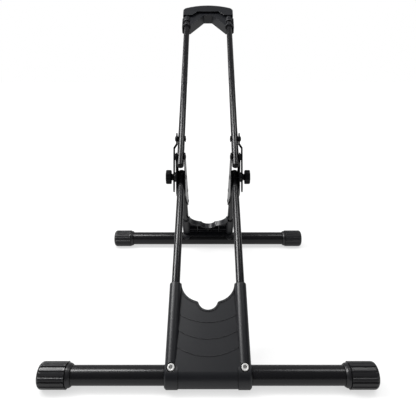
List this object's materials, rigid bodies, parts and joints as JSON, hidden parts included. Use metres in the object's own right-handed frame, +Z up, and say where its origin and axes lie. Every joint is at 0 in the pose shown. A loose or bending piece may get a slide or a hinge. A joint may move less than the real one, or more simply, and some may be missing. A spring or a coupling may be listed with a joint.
{
  "type": "floor bike rack",
  "caption": "Folding floor rack for one bicycle: two foot bars with rubber caps, moulded wheel cradles, sheet hinges and a leaning hoop with a vee head.",
  "frame": {"origin": "on the floor under the middle of the rack's box", "axes": "+X to the right across the width, +Y from the front foot to the rear foot, +Z up"},
  "size_m": [0.452, 0.6256, 0.5461],
  "materials": {
    "powder_coat": "satin black powder coat on steel",
    "moulded_plastic": "fine textured charcoal glass-filled nylon",
    "cap_rubber": "matt moulded rubber",
    "bright_screw": "bright zinc plated",
    "plug_plastic": "matt black",
    "knob_plastic": "matt black, lobed",
    "black_fastener": "black oxide",
    "brass": "turned brass"
  },
  "bodies": {
    "rear_frame": {"rear_foot_tube": "powder_coat", "rear_cradle": "moulded_plastic", "rear_cradle_screws": "bright_screw", "rear_cap_left": "cap_rubber", "rear_rod_left": "powder_coat", "rear_rod_plug_left": "plug_plastic", "hinge_plate_outer_left": "powder_coat", "hinge_plate_inner_left": "powder_coat", "knob_stud_left": "black_fastener", "rear_cap_right": "cap_rubber", "rear_rod_right": "powder_coat", "rear_rod_plug_right": "plug_plastic", "hinge_plate_outer_right": "powder_coat", "hinge_plate_inner_right": "powder_coat", "knob_stud_right": "black_fastener", "hoop_pivot_rivets": "black_fastener", "rear_rod_rivets": "black_fastener", "stay_spacers": "black_fastener", "knob_washers": "black_fastener"},
    "front_leg": {"front_foot_tube": "powder_coat", "front_cradle": "moulded_plastic", "front_cradle_screws": "bright_screw", "front_cap_left": "cap_rubber", "front_rod_left": "powder_coat", "front_rod_plug_left": "plug_plastic", "front_cap_right": "cap_rubber", "front_rod_right": "powder_coat", "front_rod_plug_right": "plug_plastic"},
    "hoop": {"hoop_rod_left": "powder_coat", "hoop_rod_plug_left": "plug_plastic", "hoop_rod_right": "powder_coat", "hoop_rod_plug_right": "plug_plastic", "stay_bolts": "black_fastener", "stay_nuts": "black_fastener", "head_body": "moulded_plastic", "head_cap": "moulded_plastic", "head_screws": "black_fastener"},
    "stay_left": {"stay_left": "powder_coat"},
    "stay_right": {"stay_right": "powder_coat"},
    "knob_left": {"knob_left": "knob_plastic", "knob_insert_left": "brass"},
    "knob_right": {"knob_right": "knob_plastic", "knob_insert_right": "brass"}
  },
  "joints": [
    {"name": "front_leg_fold", "type": "hinge", "parent": "rear_frame", "child": "front_leg", "pos_m": [0, -0.03042, 0.21479], "axis": [1, 0, 0], "range_deg": [0, 84]},
    {"name": "hoop_fold", "type": "hinge", "parent": "rear_frame", "child": "hoop", "pos_m": [0, -0.03989, 0.25519], "axis": [1, 0, 0], "range_deg": [-50, 168]},
    {"name": "stay_turn_left", "type": "hinge", "parent": "hoop", "child": "stay_left", "pos_m": [-0.049, -0.00806, 0.28181], "axis": [1, 0, 0], "range_deg": [-85, 26]},
    {"name": "knob_turn_left", "type": "hinge", "parent": "rear_frame", "child": "knob_left", "pos_m": [-0.06465, -0.03042, 0.21479], "axis": [1, 0, 0], "continuous": true},
    {"name": "stay_turn_right", "type": "hinge", "parent": "hoop", "child": "stay_right", "pos_m": [0.049, -0.00806, 0.28181], "axis": [1, 0, 0], "range_deg": [-85, 26]},
    {"name": "knob_turn_right", "type": "hinge", "parent": "rear_frame", "child": "knob_right", "pos_m": [0.06465, -0.03042, 0.21479], "axis": [1, 0, 0], "continuous": true}
  ],
  "couplings": [
    {"joint": "stay_turn_left", "follows": "hoop_fold", "ratio": -0.5},
    {"joint": "stay_turn_right", "follows": "hoop_fold", "ratio": -0.5}
  ]
}
